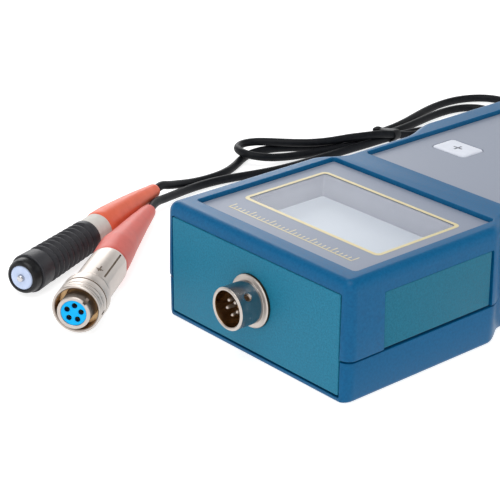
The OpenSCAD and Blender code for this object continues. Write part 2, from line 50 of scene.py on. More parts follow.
# ---- camera ------------------------------------------------------------------
cam_data = bpy.data.cameras.new("camera")
cam_data.lens = 126.22
cam_data.sensor_width = 36
cam_data.clip_start = 0.01
cam_data.clip_end = 20
cam = bpy.data.objects.new("camera", cam_data)
scene.collection.objects.link(cam)
cam.matrix_world = Matrix((
    (0.65288392, -0.30484715, 0.69340522, 0.295366),
    (0.75745179, 0.25906036, -0.59929501, -0.336283),
    (0.00305957, 0.91649111, 0.40004336, 0.199594),
    (0, 0, 0, 1),
))
scene.camera = cam


# ---- helpers -----------------------------------------------------------------
def link(ob):
    scene.collection.objects.link(ob)
    return ob


def soften(ob, angle=32):
    me = ob.data
    me.polygons.foreach_set("use_smooth", [True] * len(me.polygons))
    me.set_sharp_from_angle(angle=math.radians(angle))
    me.update()
    return ob


def mesh_obj(name, verts, faces, angle=32):
    me = bpy.data.meshes.new(name)
    me.from_pydata([(x * MM, y * MM, z * MM) for x, y, z in verts], [], faces)
    bm = bmesh.new()
    bm.from_mesh(me)
    bmesh.ops.remove_doubles(bm, verts=bm.verts, dist=1e-6)
    bmesh.ops.recalc_face_normals(bm, faces=bm.faces)
    bm.to_mesh(me)
    bm.free()
    ob = link(bpy.data.objects.new(name, me))
    return soften(ob, angle)


def cut(ob, *cutters, op="DIFFERENCE", angle=32):
    for c in cutters:
        m = ob.modifiers.new("cut", "BOOLEAN")
        m.operation = op
        m.solver = "EXACT"
        m.object = c
    bpy.context.view_layer.update()
    dg = bpy.context.evaluated_depsgraph_get()
    me = bpy.data.meshes.new_from_object(ob.evaluated_get(dg))
    ob.modifiers.clear()
    old = ob.data
    ob.data = me
    bpy.data.meshes.remove(old)
    for c in cutters:
        d = c.data
        bpy.data.objects.remove(c)
        bpy.data.meshes.remove(d)
    bm = bmesh.new()
    bm.from_mesh(me)
    bmesh.ops.remove_doubles(bm, verts=bm.verts, dist=2e-6)
    bmesh.ops.dissolve_degenerate(bm, edges=bm.edges, dist=1e-6)
    bm.to_mesh(me)
    bm.free()
    return soften(ob, angle)


def join(name, obs, angle=32):
    """One object out of several, all at the origin."""
    bm = bmesh.new()
    for o in obs:
        bm.from_mesh(o.data)
    me = bpy.data.meshes.new(name)
    bm.to_mesh(me)
    bm.free()
    for o in obs:
        d = o.data
        bpy.data.objects.remove(o)
        bpy.data.meshes.remove(d)
    ob = link(bpy.data.objects.new(name, me))
    return soften(ob, angle)


def piece(ob, material, body="gauge", nodes=()):
    if not ob.data.materials:
        ob.data.materials.append(material)
    if nodes:
        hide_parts(*nodes)
    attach(ob, body)
    return ob


def loft(name, rings, angle=32, close=False):
    """Closed solid through rings of equal length; close joins the last ring to the first."""
    n = len(rings[0])
    verts = [p for r in rings for p in r]
    faces = []
    m = len(rings)
    for k in range(m if close else m - 1):
        a0, b0 = k * n, ((k + 1) % m) * n
        for i in range(n):
            j = (i + 1) % n
            faces.append((a0 + i, a0 + j, b0 + j, b0 + i))
    if not close:
        faces.append(tuple(range(n - 1, -1, -1)))
        faces.append(tuple((m - 1) * n + i for i in range(n)))
    return mesh_obj(name, verts, faces, angle)


def rr(cx, cy, w, l, r, n=6):
    pts = []
    for sx, sy, a0 in ((1, 1, 0), (-1, 1, 90), (-1, -1, 180), (1, -1, 270)):
        for i in range(n + 1):
            a = math.radians(a0 + 90 * i / n)
            pts.append((cx + sx * (w / 2 - r) + r * math.cos(a), cy + sy * (l / 2 - r) + r * math.sin(a)))
    return pts


def stack(name, cx, cy, w, l, r, levels, n=6, angle=32):
    """Rounded rectangle through levels of (z, outset)."""
    rings = [[(x, y, z) for x, y in rr(cx, cy, w + 2 * o, l + 2 * o, max(0.05, r + o), n)] for z, o in levels]
    return loft(name, rings, angle)


def box(name, x0, x1, p0, p1, z0, z1, e=0.15):
    """Box with softened edges; p is the distance from the connector end."""
    y0, y1 = p0 + Y0, p1 + Y0
    cx, cy, w, l = (x0 + x1) / 2, (y0 + y1) / 2, x1 - x0, y1 - y0
    e = min(e, 0.45 * min(w, l, z1 - z0))
    k = 0.293 * e
    return stack(name, cx, cy, w, l, e, [(z0, -e), (z0 + k, -k), (z0 + e, 0), (z1 - e, 0), (z1 - k, -k), (z1, -e)], 3)


def fillet2d(pts, r, n=3, closed=True):
    """Rounds the corners of a profile."""
    out = []
    m = len(pts)
    for i, p in enumerate(pts):
        p = np.array(p[:2], float)
        if not closed and i in (0, m - 1):
            out.append(tuple(p))
            continue
        a = np.array(pts[i - 1][:2], float)
        b = np.array(pts[(i + 1) % m][:2], float)
        u, v = a - p, b - p
        lu, lv = np.linalg.norm(u), np.linalg.norm(v)
        u, v = u / lu, v / lv
        turn = math.acos(max(-1, min(1, float(u @ v))))
        if turn > math.radians(168) or p[0] < 1e-6:
            out.append(tuple(p))
            continue
        t = min(r / math.tan(turn / 2), 0.42 * lu, 0.42 * lv)
        s, e = p + u * t, p + v * t
        for k in range(n + 1):
            f = k / n
            q = (1 - f) ** 2 * s + 2 * f * (1 - f) * p + f * f * e
            out.append(tuple(q))
    return out


def frame_at(at, tilt, yaw):
    """x is down, y to the side and z along the axis of a piece lying on the table."""
    return Matrix.Translation(Vector(at)) @ Matrix.Rotation(math.radians(yaw), 4, "Z") @ Matrix.Rotation(math.radians(90 + tilt), 4, "Y")


def revolve(name, profile, mat4, segs=64, soft=0.12, angle=34, closed=True, n=3):
    pts = fillet2d(profile, soft, n, closed) if soft else [tuple(p) for p in profile]
    verts, rings = [], []
    for r, t in pts:
        if r < 1e-6:
            verts.append(tuple(mat4 @ Vector((0, 0, t))))
            rings.append([len(verts) - 1])
            continue
        start = len(verts)
        for i in range(segs):
            a = 2 * math.pi * i / segs
            verts.append(tuple(mat4 @ Vector((r * math.cos(a), r * math.sin(a), t))))
        rings.append(list(range(start, start + segs)))
    faces = []
    m = len(rings)
    for k in range(m):
        a, b = rings[k], rings[(k + 1) % m]
        if len(a) == 1 and len(b) == 1:
            continue
        if k == m - 1 and not closed:
            continue
        for i in range(segs):
            j = (i + 1) % segs
            if len(a) == 1:
                faces.append((a[0], b[i], b[j]))
            elif len(b) == 1:
                faces.append((a[i], a[j], b[0]))
            else:
                faces.append((a[i], a[j], b[j], b[i]))
    return mesh_obj(name, verts, faces, angle)


def cyl(name, a, b, r, segs=24):
    a, b = Vector(a), Vector(b)
    d = b - a
    m = Matrix.Translation(a) @ d.to_track_quat("Z", "Y").to_matrix().to_4x4()
    h = d.length
    return revolve(name, [(0, 0), (r, 0), (r, h), (0, h)], m, segs, soft=0)


def swept(name, path, radii, segs=40, angle=40):
    """Round body along a bent axis, closed at both ends."""
    path = [Vector(p) for p in path]
    rings = []
    up = Vector((0, 0, 1))
    for i, p in enumerate(path):
        t = (path[min(i + 1, len(path) - 1)] - path[max(i - 1, 0)]).normalized()
        u = t.cross(up).normalized()
        v = u.cross(t)
        rings.append([tuple(p + radii[i] * (math.cos(2 * math.pi * k / segs) * u + math.sin(2 * math.pi * k / segs) * v)) for k in range(segs)])
    return loft(name, rings, angle)


def lin(r, g, b):
    def f(v):
        v /= 255
        return v / 12.92 if v <= 0.04045 else ((v + 0.055) / 1.055) ** 2.4
    return (f(r), f(g), f(b), 1)


def material(name, a, b, rough=0.45, spread=0.06, scale=700, grain=4000, bump=0.15, depth=0.00003,
             metallic=0.0, specular=0.5, coat=0.0, subsurface=0.0, detail=3.0):
    m = bpy.data.materials.new(name)
    m.use_nodes = True
    nt = m.node_tree
    nt.nodes.clear()
    out = nt.nodes.new("ShaderNodeOutputMaterial")
    bs = nt.nodes.new("ShaderNodeBsdfPrincipled")
    tc = nt.nodes.new("ShaderNodeTexCoord")
    n1 = nt.nodes.new("ShaderNodeTexNoise")
    n1.inputs["Scale"].default_value = scale
    n1.inputs["Detail"].default_value = detail
    n2 = nt.nodes.new("ShaderNodeTexNoise")
    n2.inputs["Scale"].default_value = grain
    n2.inputs["Detail"].default_value = 2.0
    ramp = nt.nodes.new("ShaderNodeValToRGB")
    ramp.color_ramp.elements[0].position = 0.32
    ramp.color_ramp.elements[0].color = a
    ramp.color_ramp.elements[1].position = 0.68
    ramp.color_ramp.elements[1].color = b
    mr = nt.nodes.new("ShaderNodeMapRange")
    mr.inputs["From Min"].default_value = 0.3
    mr.inputs["From Max"].default_value = 0.7
    mr.inputs["To Min"].default_value = max(0.02, rough - spread)
    mr.inputs["To Max"].default_value = min(1.0, rough + spread)
    bp = nt.nodes.new("ShaderNodeBump")
    bp.inputs["Strength"].default_value = bump
    bp.inputs["Distance"].default_value = depth
    bs.inputs["Metallic"].default_value = metallic
    bs.inputs["Specular IOR Level"].default_value = specular
    bs.inputs["Coat Weight"].default_value = coat
    bs.inputs["Coat Roughness"].default_value = 0.12
    if subsurface:
        bs.inputs["Subsurface Weight"].default_value = subsurface
        bs.inputs["Subsurface Radius"].default_value = (0.004, 0.0015, 0.001)
        bs.inputs["Subsurface Scale"].default_value = 0.5
    k = nt.links.new
    k(tc.outputs["Object"], n1.inputs["Vector"])
    k(tc.outputs["Object"], n2.inputs["Vector"])
    k(n1.outputs["Fac"], ramp.inputs["Fac"])
    k(ramp.outputs["Color"], bs.inputs["Base Color"])
    k(n1.outputs["Fac"], mr.inputs["Value"])
    k(mr.outputs["Result"], bs.inputs["Roughness"])
    k(n2.outputs["Fac"], bp.inputs["Height"])
    k(bp.outputs["Normal"], bs.inputs["Normal"])
    k(bs.outputs["BSDF"], out.inputs["Surface"])
    return m


def clear_material(name, tint, gloss):
    m = bpy.data.materials.new(name)
    m.use_nodes = True
    nt = m.node_tree
    nt.nodes.clear()
    out = nt.nodes.new("ShaderNodeOutputMaterial")
    tr = nt.nodes.new("ShaderNodeBsdfTransparent")
    gl = nt.nodes.new("ShaderNodeBsdfGlossy")
    mix = nt.nodes.new("ShaderNodeMixShader")
    fr = nt.nodes.new("ShaderNodeLayerWeight")
    fm_ = nt.nodes.new("ShaderNodeMapRange")
    tc = nt.nodes.new("ShaderNodeTexCoord")
    n1 = nt.nodes.new("ShaderNodeTexNoise")
    n1.inputs["Scale"].default_value = 300
    mr = nt.nodes.new("ShaderNodeMapRange")
    mr.inputs["To Min"].default_value = 0.28
    mr.inputs["To Max"].default_value = 0.32
    bp = nt.nodes.new("ShaderNodeBump")
    bp.inputs["Strength"].default_value = 0.005
    bp.inputs["Distance"].default_value = 0.00002
    ramp = nt.nodes.new("ShaderNodeValToRGB")
    ramp.color_ramp.elements[0].color = tint
    ramp.color_ramp.elements[1].color = tuple(min(1, v * 1.03) for v in tint[:3]) + (1,)
    fr.inputs["Blend"].default_value = 0.5
    fm_.inputs["From Min"].default_value = 0.2
    fm_.inputs["From Max"].default_value = 1.0
    fm_.inputs["To Min"].default_value = 0.01
    fm_.inputs["To Max"].default_value = gloss
    gl.inputs["Color"].default_value = (1, 1, 1, 1)
    k = nt.links.new
    k(tc.outputs["Object"], n1.inputs["Vector"])
    k(n1.outputs["Fac"], ramp.inputs["Fac"])
    k(ramp.outputs["Color"], tr.inputs["Color"])
    k(n1.outputs["Fac"], mr.inputs["Value"])
    k(mr.outputs["Result"], gl.inputs["Roughness"])
    k(n1.outputs["Fac"], bp.inputs["Height"])
    k(bp.outputs["Normal"], gl.inputs["Normal"])
    k(fr.outputs["Facing"], fm_.inputs["Value"])
    k(fm_.outputs["Result"], mix.inputs["Fac"])
    k(tr.outputs["BSDF"], mix.inputs[1])
    k(gl.outputs["BSDF"], mix.inputs[2])
    k(mix.outputs["Shader"], out.inputs["Surface"])
    return m


# ---- materials ---------------------------------------------------------------
M_CASE = material("case_blue", (0.0012, 0.080, 0.198, 1), (0.0026, 0.100, 0.232, 1), 0.36, 0.06, 1500, 2600, 0.30, 0.00005, specular=0.14)
# much darker blue for the inner lip seen through the parting-line gap: painted shade in the gap
M_CASE_GAP_SHADE = material("case_blue_painted_gap_shade", (0.001, 0.022, 0.06, 1), (0.002, 0.030, 0.075, 1), 0.6, 0.05, 700, 2600, 0.2, specular=0.1)
M_PANEL = material("panel_teal", (0.006, 0.132, 0.222, 1), (0.014, 0.182, 0.292, 1), 0.50, 0.08, 2200, 2600, 0.6, 0.00010, specular=0.18)
M_INSERT = material("insert_teal", (0.004, 0.108, 0.176, 1), (0.010, 0.144, 0.226, 1), 0.50, 0.08, 2200, 2600, 0.6, 0.00010, specular=0.16)
M_LABEL = material("label_grey", (0.200, 0.230, 0.300, 1), (0.212, 0.242, 0.312, 1), 0.42, 0.03, 500, 3000, 0.01, specular=0.3)
M_PAD = material("keypad_grey", (0.205, 0.232, 0.300, 1), (0.220, 0.248, 0.315, 1), 0.34, 0.05, 500, 3000, 0.08, specular=0.35)
M_GOLD = material("print_gold", lin(196, 182, 134), lin(204, 190, 144), 0.4, 0.05, 800, 3000, 0.05)
M_INK = material("print_ink", lin(84, 88, 100), lin(94, 98, 110), 0.5, 0.05, 800, 3000, 0.05)
M_WHITE_INK = material("print_white", lin(226, 228, 234), lin(234, 236, 241), 0.5, 0.05, 800, 3000, 0.05)
M_WINDOW = clear_material("window_clear", (0.96, 0.97, 0.98, 1), 0.045)
M_BEZEL = material("bezel_grey", (0.40, 0.405, 0.46, 1), (0.43, 0.435, 0.49, 1), 0.5, 0.05, 700, 3000, 0.1, specular=0.2)
M_LCD = material("lcd_grey", (0.56, 0.585, 0.64, 1), (0.58, 0.605, 0.66, 1), 0.40, 0.04, 250, 2500, 0.02, specular=0.2)
M_BOARD = material("board_green", lin(24, 104, 60), lin(34, 122, 72), 0.4, 0.06, 400, 2000, 0.2)
M_CHIP = material("chip_black", lin(26, 26, 28), lin(36, 36, 39), 0.6, 0.06, 900, 3000, 0.2)
M_ZEBRA = material("zebra_pink", lin(214, 150, 168), lin(224, 164, 180), 0.6, 0.06, 900, 3000, 0.1)
M_KEY = material("key_white", (0.60, 0.625, 0.70, 1), (0.64, 0.665, 0.74, 1), 0.4, 0.05, 500, 3000, 0.08, specular=0.3)
M_KEY_RED = material("key_red", lin(186, 48, 40), lin(196, 60, 50), 0.4, 0.05, 500, 3000, 0.08, specular=0.3)
M_NICKEL = material("nickel", lin(192, 183, 176), lin(201, 192, 185), 0.43, 0.05, 500, 2500, 0.04, metallic=1.0)
# darker, glossier nickel for the socket barrel's outside: painted reflection of the dark blue case
M_NICKEL_PAINTED_REFLECTION = material("nickel_painted_reflection", lin(150, 150, 150), lin(160, 160, 160), 0.24, 0.05, 500, 2500, 0.05, metallic=1.0)
M_NICKEL_IN = material("nickel_inside", lin(168, 136, 98), lin(184, 152, 114), 0.22, 0.05, 500, 2500, 0.05, metallic=1.0)
# dark brown nickel: painted shade in grooves and slots, painted reflection on the socket flange's rim, and the plug's
# engraved arrow mark
M_NICKEL_SHADE_AND_MARK = material("nickel_painted_shade_and_mark", lin(86, 70, 54), lin(100, 84, 66), 0.4, 0.05, 500, 2500, 0.05, metallic=1.0)
M_STEEL = material("steel", lin(196, 196, 200), lin(206, 206, 210), 0.26, 0.06, 600, 3000, 0.1, metallic=1.0)
M_GOLD_PIN = material("contact_gold", lin(214, 190, 120), lin(222, 200, 134), 0.25, 0.05, 600, 3000, 0.05, metallic=1.0)
M_BROWN = material("insulator_brown", lin(92, 80, 70), lin(104, 92, 80), 0.4, 0.06, 700, 3000, 0.1)
M_BLUE = material("insulator_blue", (0.001, 0.40, 0.84, 1), (0.003, 0.44, 0.90, 1), 0.35, 0.05, 600, 3000, 0.05, specular=0.15)
# near-black navy for the walls inside the plug's contact holes: painted shade in the holes
M_HOLE_SHADE = material("hole_painted_shade", (0.001, 0.02, 0.09, 1), (0.002, 0.03, 0.12, 1), 0.6, 0.05, 600, 3000, 0.05, specular=0.1)
M_WIRE = material("wire_red", lin(186, 50, 44), lin(198, 62, 54), 0.4, 0.05, 600, 3000, 0.05)
M_CELL = material("cell_jacket", lin(72, 76, 88), lin(84, 88, 100), 0.35, 0.05, 200, 2500, 0.05)
M_GRIP = material("grip_black", (0.025, 0.025, 0.029, 1), (0.033, 0.033, 0.038, 1), 0.46, 0.06, 900, 3200, 0.25, 0.00004, specular=0.24)
M_NOSE = material("nose_black", (0.008, 0.008, 0.009, 1), (0.011, 0.011, 0.012, 1), 0.34, 0.06, 900, 3200, 0.12, specular=0.25)
M_SENSOR = material("sensor_white", lin(184, 198, 226), lin(192, 205, 231), 0.35, 0.05, 700, 3000, 0.05, specular=0.3)
M_COIL = material("coil_copper", lin(190, 112, 66), lin(204, 126, 78), 0.35, 0.06, 600, 3000, 0.3, metallic=1.0)
M_RING = material("ring_pale", lin(199, 195, 189), lin(208, 204, 198), 0.55, 0.05, 600, 3000, 0.06, specular=0.15)
M_BOOT = material("boot_red", (0.70, 0.115, 0.052, 1), (0.76, 0.140, 0.068, 1), 0.42, 0.05, 400, 2600, 0.12, specular=0.35, subsurface=0.1)
M_BOOT2 = material("boot_pink", (0.60, 0.102, 0.078, 1), (0.66, 0.126, 0.098, 1), 0.44, 0.05, 400, 2600, 0.12, specular=0.25, subsurface=0.1)
M_CABLE = material("cable_black", (0.005, 0.0055, 0.007, 1), (0.009, 0.010, 0.012, 1), 0.46, 0.06, 900, 2600, 0.2, specular=0.12)
M_TIE = material("tie_black", (0.006, 0.006, 0.007, 1), (0.009, 0.009, 0.010, 1), 0.5, 0.06, 900, 2600, 0.2, specular=0.3)

# ---- cable -------------------------------------------------------------------
Y0 = -80.5
PROBE_AT, PROBE_TILT, PROBE_YAW = (-66.5, -104.2, 5.45), 0.8, 112.35
PLUG_AT, PLUG_TILT, PLUG_YAW = (-38.6, -106.1, 6.9), 1.85, 127.7
GRIP_END, RING_END, PROBE_L, BOOT_LIFT = 33.2, 39.3, 74.3, 1.6
SHELL_END, PLUG_L = 30.4, 76.8
CABLE_D = 2.6
F_PROBE = frame_at(PROBE_AT, PROBE_TILT, PROBE_YAW)
F_PLUG = frame_at(PLUG_AT, PLUG_TILT, PLUG_YAW)
probe_dir = (F_PROBE.to_3x3() @ Vector((0, 0, 1))).normalized()
plug_dir = (F_PLUG.to_3x3() @ Vector((0, 0, 1))).normalized()
boot_dir = (frame_at((0, 0, 0), PROBE_TILT - BOOT_LIFT, PROBE_YAW).to_3x3() @ Vector((0, 0, 1))).normalized()
ring_at = F_PROBE @ Vector((0, 0, RING_END))
probe_tail = ring_at + (PROBE_L - RING_END) * boot_dir
plug_tail = F_PLUG @ Vector((0, 0, PLUG_L))

LEAD = [tuple(probe_tail - 2 * boot_dir), tuple(probe_tail), tuple(probe_tail + 2 * boot_dir),
        # free end of the probe
        (-96.2, -30.8, 4.5), (-97.1, -27.6, 3.6), (-97.9, -24.2, 2.7), (-98.4, -20.6, 1.9), (-98.6, -16.8, 1.45), (-98.7, -13, 1.3), (-98.8, -9, 1.3),
        (-99.5, -4.6, 1.3), (-101.4, -0.2, 1.3), (-104.2, 4.4, 1.3), (-106.8, 8.8, 1.3), (-107.9, 13.6, 1.3), (-107.1, 18.6, 1.3),
        (-104.9, 23, 1.3), (-102.0, 27, 1.3), (-98.8, 31.2, 1.3), (-96.4, 35.6, 1.3), (-95.2, 41, 1.3), (-94.7, 47, 1.3),
        (-94.5, 53, 1.3), (-94.6, 59, 1.3),
        # outer fold at the far end
        (-95.0, 65, 1.3), (-96.2, 71, 1.3), (-98.0, 77.5, 1.3), (-99.9, 84, 1.3), (-101.3, 90.5, 1.3), (-101.9, 97, 1.3),
        (-101.4, 103, 1.3), (-99.2, 108.6, 1.3), (-95.6, 112.8, 1.3), (-90.6, 114.9, 1.3), (-85.4, 114.2, 1.3), (-80.8, 110.8, 1.3),
        (-78.0, 105.8, 1.3), (-77.2, 100, 1.3), (-77.4, 94, 1.3), (-78.5, 88, 1.3), (-80.1, 82, 1.3), (-81.9, 76, 1.3),
        (-83.6, 70.4, 1.3), (-85.2, 65, 1.4), (-86.4, 60, 2.0),
        # on top of the others to the near fold
        (-87.7, 55, 3.5), (-89.2, 50, 3.95), (-91.0, 45, 3.95), (-92.7, 40.4, 3.9), (-94.4, 35.6, 3.6), (-96.6, 30.2, 3.6), (-99.8, 25.4, 3.8),
        (-103.6, 21.4, 3.95), (-107.4, 18.2, 3.95), (-110.5, 15.0, 3.95), (-111.6, 11.2, 3.95), (-110.2, 7.5, 3.95), (-107.0, 5.3, 3.95),
        (-103.0, 5.0, 3.95), (-99.8, 6.8, 3.6), (-97.9, 10.4, 2.8), (-97.1, 15.2, 2.0), (-96.3, 20.2, 1.5), (-95.2, 25.6, 1.3),
        (-93.9, 30.8, 1.3), (-92.7, 36, 1.3), (-91.9, 42, 1.3), (-91.8, 48, 1.3), (-91.8, 54, 1.3), (-92.0, 60, 1.3),
        # inner fold at the far end
        (-92.4, 66, 1.3), (-93.2, 72, 1.3), (-94.3, 78, 1.3), (-95.2, 84, 1.3), (-95.6, 90, 1.3), (-95.2, 95.5, 1.3),
        (-93.2, 100.2, 1.3), (-89.6, 103.2, 1.3), (-85.4, 103.4, 1.3), (-81.8, 100.8, 1.3), (-80.2, 96.4, 1.3), (-80.4, 91.4, 1.3),
        (-81.6, 86, 1.3), (-83.2, 81, 1.3), (-85, 76, 1.3), (-86.7, 71, 1.3), (-88.1, 66, 1.3), (-88.9, 61, 1.3), (-89.2, 55, 1.3),
        # free end of the plug
        (-89.3, 48, 1.3), (-89.4, 42, 1.3), (-89.5, 36, 1.3), (-89.6, 30, 1.3), (-89.7, 24, 1.3), (-89.8, 18, 1.3), (-90.2, 12, 1.3),
        (-91.0, 6.5, 1.3), (-92.3, 1, 1.3), (-93.9, -4.2, 1.3), (-95.3, -9.2, 1.3), (-96.1, -14.2, 1.3), (-96.2, -19, 1.35),
        (-95.4, -23.6, 1.6), (-94.0, -28, 2.1), (-92.4, -32, 2.7), (-90.8, -35.8, 3.3),
        tuple(plug_tail + 4 * plug_dir), tuple(plug_tail), tuple(plug_tail - 14 * plug_dir), tuple(plug_tail - 28 * plug_dir), tuple(plug_tail - 41 * plug_dir)]


def smooth(points, step):
    """Even points along a smooth line through the given ones."""
    p = np.array(points, float)
    q = np.vstack([2 * p[0] - p[1], p, 2 * p[-1] - p[-2]])
    out = []
    for i in range(1, len(q) - 2):
        a, b, c, d = q[i - 1], q[i], q[i + 1], q[i + 2]
        t0, t1 = 0.0, np.linalg.norm(b - a) ** 0.5
        t2 = t1 + np.linalg.norm(c - b) ** 0.5
        t3 = t2 + np.linalg.norm(d - c) ** 0.5
        for t in np.linspace(t1, t2, 24, endpoint=False):
            a1 = (t1 - t) / (t1 - t0) * a + (t - t0) / (t1 - t0) * b
            a2 = (t2 - t) / (t2 - t1) * b + (t - t1) / (t2 - t1) * c
            a3 = (t3 - t) / (t3 - t2) * c + (t - t2) / (t3 - t2) * d
            b1 = (t2 - t) / (t2 - t0) * a1 + (t - t0) / (t2 - t0) * a2
            b2 = (t3 - t) / (t3 - t1) * a2 + (t - t1) / (t3 - t1) * a3
            out.append((t2 - t) / (t2 - t1) * b1 + (t - t1) / (t2 - t1) * b2)
    out.append(p[-1])
    out = np.array(out)
    s = np.concatenate([[0], np.cumsum(np.linalg.norm(np.diff(out, axis=0), axis=1))])
    n = int(round(s[-1] / step)) + 1
    u = np.linspace(0, s[-1], n)
    return np.stack([np.interp(u, s, out[:, k]) for k in range(3)], 1)


def settle(points, d, rounds=160):
    """Pushes strands that touch apart, keeps them on the floor and evens out the bends."""
    p = points.copy()
    n = len(p)
    idx = np.arange(n)
    far = np.abs(idx[:, None] - idx[None, :]) > 7
    free = np.ones(n)
    free[:6] = 0
    free[-26:] = 0
    for _ in range(rounds):
        mid = (p[:-2] + p[2:]) / 2
        p[1:-1] += 0.10 * free[1:-1, None] * (mid - p[1:-1])
        p += 0.02 * free[:, None] * (points - p)
        v = p[:, None, :] - p[None, :, :]
        r = np.sqrt((v ** 2).sum(2)) + 1e-9
        push = np.where(far & (r < d * 1.03), (d * 1.03 - r) / r, 0.0)
        p += 0.35 * free[:, None] * (push[:, :, None] * v).sum(1)
        p[:, 2] = np.maximum(p[:, 2], d / 2 + 0.02)
    return p


path = settle(smooth(LEAD, 2.0), CABLE_D)
knots = smooth(path, 3.6)
cu = bpy.data.curves.new("lead", "CURVE")
cu.dimensions = "3D"
cu.bevel_depth = CABLE_D / 2 * MM
cu.bevel_resolution = 5
cu.resolution_u = 4
cu.use_fill_caps = True
sp = cu.splines.new("BEZIER")
sp.bezier_points.add(len(knots) - 1)
for bp_, co in zip(sp.bezier_points, knots):
    bp_.co = [float(v) * MM for v in co]
    bp_.handle_left_type = "AUTO"
    bp_.handle_right_type = "AUTO"
lead = link(bpy.data.objects.new("lead", cu))
piece(lead, M_CABLE, nodes=("cable_probe", "cable_plug", "cable_hank"))

# strap round the folded strands, with its short end
TIE_Y = 57.5
strands = []
for a, b in zip(path[:-1], path[1:]):
    if (a[1] - TIE_Y) * (b[1] - TIE_Y) <= 0 and a[0] < -80 and a[1] != b[1]:
        f = (TIE_Y - a[1]) / (b[1] - a[1])
        strands.append((a[0] + f * (b[0] - a[0]), a[2] + f * (b[2] - a[2])))


def hull2d(pts):
    """Outline round a set of points, counterclockwise."""
    pts = sorted(set((round(x, 4), round(y, 4)) for x, y in pts))
    out = []
    for seq in (pts, pts[::-1]):
        half = []
        for q in seq:
            while len(half) > 1 and (half[-1][0] - half[-2][0]) * (q[1] - half[-2][1]) - (half[-1][1] - half[-2][1]) * (q[0] - half[-2][0]) <= 0:
                half.pop()
            half.append(q)
        out += half[:-1]
    return out


def round_strands(grow):
    r = CABLE_D / 2 + grow
    ring = np.array(hull2d([(x + r * math.cos(math.pi * i / 24), max(0.03, z + r * math.sin(math.pi * i / 24))) for x, z in strands for i in range(48)]))
    ring = np.vstack([ring, ring[:1]])
    t = np.concatenate([[0], np.cumsum(np.linalg.norm(np.diff(ring, axis=0), axis=1))])
    u = np.linspace(0, t[-1], 72, endpoint=False)
    return [(float(np.interp(v, t, ring[:, 0])), float(np.interp(v, t, ring[:, 1]))) for v in u]


wraps = [round_strands(0.02), round_strands(0.3), round_strands(0.42)]
rings = []
for (x0, z0), (x1, z1), (x2, z2) in zip(wraps[0], wraps[1], wraps[2]):
    # each ring is the strap's own section at one place round the bundle
    rings.append([(x0, TIE_Y - 1.25, z0), (x1, TIE_Y - 1.25, z1), (x2, TIE_Y - 0.8, z2), (x2, TIE_Y + 0.8, z2), (x1, TIE_Y + 1.25, z1), (x0, TIE_Y + 1.25, z0)])
strap = loft("strap", rings, 40, close=True)
hx, hz = min(strands)
twist = []
for i in range(15):
    f = i / 14
    twist.append((hx + 0.9 - 1.6 * f, TIE_Y + 0.2 - 2.4 * f, hz + CABLE_D / 2 + 0.45 - 0.3 * f))
knot = swept("strap_end", twist, [0.28 + 0.62 * math.sin(math.pi * min(0.97, 0.08 + f / 15.5)) for f in range(15)], 16)
strap = join("lead_tie", [strap, knot], 40)
piece(strap, M_TIE, nodes=("cable_tie",))

# ---- case --------------------------------------------------------------------
BODY_L, HEAD_W, WAIST_W, TAIL_W, BODY_H, SPLIT = 161, 69, 60, 68, 31.5, 11.1
CORNER_R, TAIL_R, WALL = 3.1, 12.0, 2.2
PRINT_Z, SEAT_Z, ROOF_Z = 30.4, 29.4, 27.6


def sm(t):
    t = min(1.0, max(0.0, t))
    return t * t * (3 - 2 * t)


def halfw(p):
    return HEAD_W / 2 - (HEAD_W - WAIST_W) / 2 * sm((p - 50) / 10) + (TAIL_W - WAIST_W) / 2 * sm((p - 82) / 14)


SIDE_PS = [12, 22, 32, 42, 47] + [49 + 0.75 * i for i in range(17)] + [66, 72, 78] + [81 + 0.9 * i for i in range(19)] + [104, 112, 120]


def case_ring(o, e, z):
    r = []
    for i in range(13):
        a = math.radians(-90 + 7.5 * i)
        r.append((HEAD_W / 2 - CORNER_R + (CORNER_R - o) * math.cos(a), Y0 + CORNER_R + (CORNER_R - e) * math.sin(a)))
    r += [(halfw(p) - o, Y0 + p) for p in SIDE_PS]
    for i in range(19):
        a = math.radians(5 * i)
        r.append((TAIL_W / 2 - TAIL_R + (TAIL_R - o) * math.cos(a), -Y0 - TAIL_R + (TAIL_R - o) * math.sin(a)))
    r += [(-x, y) for x, y in reversed(r)]
    return [(x, y, z) for x, y in r]


def slot_box(x0, x1, p0, p1, z0, z1, name="slot"):
    return box(name, x0, x1, p0, p1, z0, z1, 0.35)


KEYS = {"plus": (-14, 88), "minus": (14, 88), "zero": (-14, 121), "mode": (14, 121), "power": (0, 138)}

levels = [(SPLIT, 0.3), (SPLIT + 0.12, 0.1), (SPLIT + 0.35, 0.0), (18, 0.14), (BODY_H - 2.8, 0.35)]
for i in range(1, 13):
    t = math.radians(7.5 * i)
    levels.append((BODY_H - 2.8 + 2.8 * math.sin(t), 0.35 + 2.55 * (1 - math.cos(t))))
top = loft("case_top", [case_ring(o, o, z) for z, o in levels])
hollow = loft("hollow", [case_ring(WALL, WALL, SPLIT - 1), case_ring(WALL, WALL, ROOF_Z)])
cut(top, hollow)
rec = [(SEAT_Z, 0), (BODY_H - 0.35, 0.03), (BODY_H - 0.12, 0.1), (BODY_H + 0.02, 0.32), (BODY_H + 1, 1.2)]
cut(top, join("recesses", [
    stack("r1", 0, Y0 + 6.7 + 24.1, 58.4, 48.2, 0.9, rec),
    stack("r2", 0, Y0 + 64.3 + 42.5, 52.6, 85, 1.1, rec),
]))
for s in (-1, 1):
    a, b = sorted((s * 33.3, s * 38))
    cut(top, slot_box(a, b, 11.9, 49.9, SPLIT - 1, 26.3))
